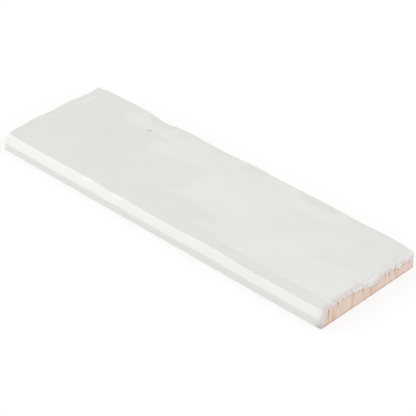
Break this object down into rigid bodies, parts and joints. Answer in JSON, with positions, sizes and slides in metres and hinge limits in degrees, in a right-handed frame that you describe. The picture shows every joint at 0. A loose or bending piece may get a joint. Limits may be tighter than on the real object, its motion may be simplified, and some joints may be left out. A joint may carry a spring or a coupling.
{
  "type": "bullnose trim tile",
  "caption": "Long glazed ceramic wall tile with one rounded long edge, a gently wavy white gloss face and a flat bare back, for finishing the edge of tiling.",
  "frame": {"origin": "centre of the flat back, midway between the ends and between the nose and the rear edge", "axes": "+X along the tile, -Y out of the rounded nose, +Z out of the glazed face"},
  "size_m": [0.203, 0.063, 0.0093],
  "materials": {
    "white_glaze": "gloss white glaze over a peach bisque body"
  },
  "bodies": {
    "root": {"trim_tile": "white_glaze"}
  },
  "joints": []
}
